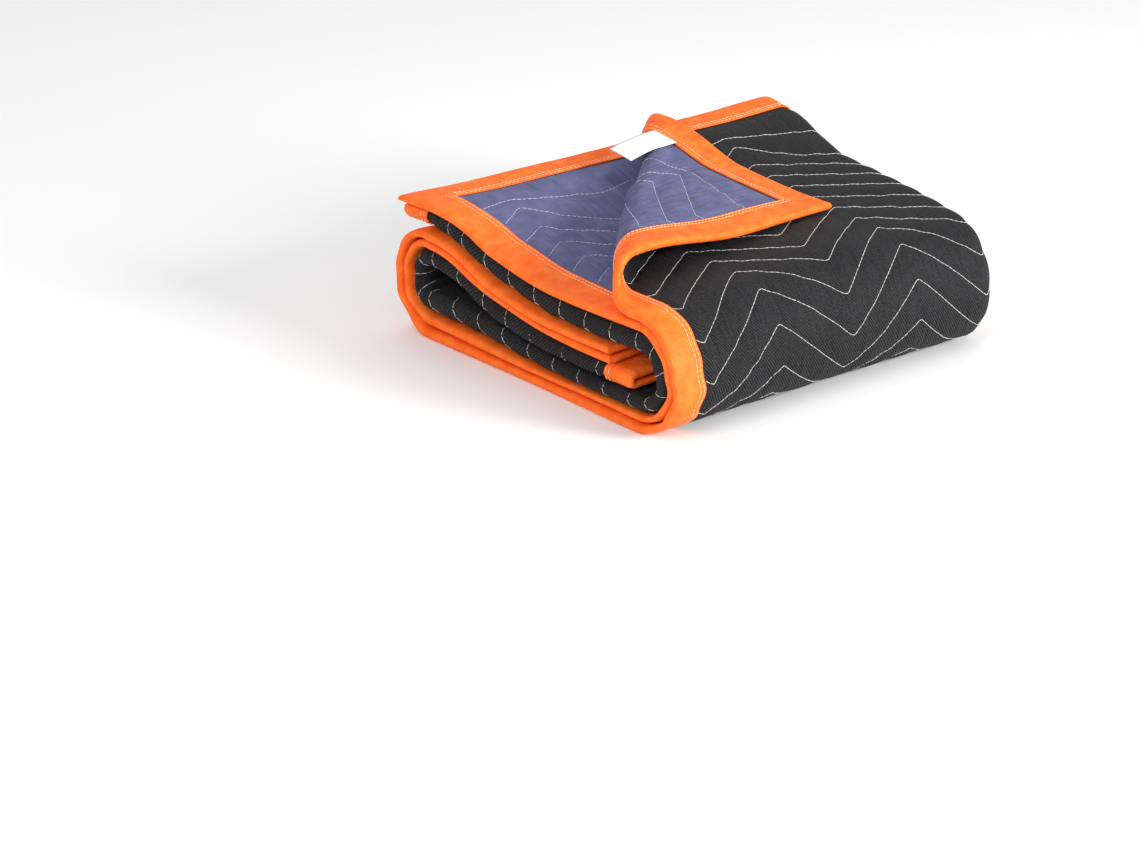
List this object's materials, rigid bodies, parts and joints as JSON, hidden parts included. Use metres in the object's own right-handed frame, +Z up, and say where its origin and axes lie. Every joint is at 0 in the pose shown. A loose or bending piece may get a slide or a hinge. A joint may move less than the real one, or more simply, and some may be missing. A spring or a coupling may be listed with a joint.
{
  "type": "folded moving pad",
  "caption": "Quilted moving pad in charcoal with a slate-blue lining and orange binding, folded into a flat roll, with a corner turned back",
  "frame": {"origin": "middle of the folded pad's greatest length and of its depth, at the height of its flat underside", "axes": "+X along the folded strip from its open bound end to its outer fold, +Y across the roll from the smooth curl to the side of the loose top edge, +Z up"},
  "size_m": [0.5074, 0.4497, 0.168],
  "materials": {
    "face_cloth": "matt, fine diagonal twill",
    "lining_cloth": "matt, soft plain cloth",
    "binding_tape": "soft sheen, smooth woven tape",
    "label_tape": "smooth, bare white"
  },
  "bodies": {
    "root": {"face_panel": "face_cloth", "lining_panel": "lining_cloth", "binding_top_edge": "binding_tape", "binding_rolled_in_edge": "binding_tape", "binding_first_edge": "binding_tape", "binding_second_edge": "binding_tape", "label": "label_tape"}
  },
  "joints": []
}
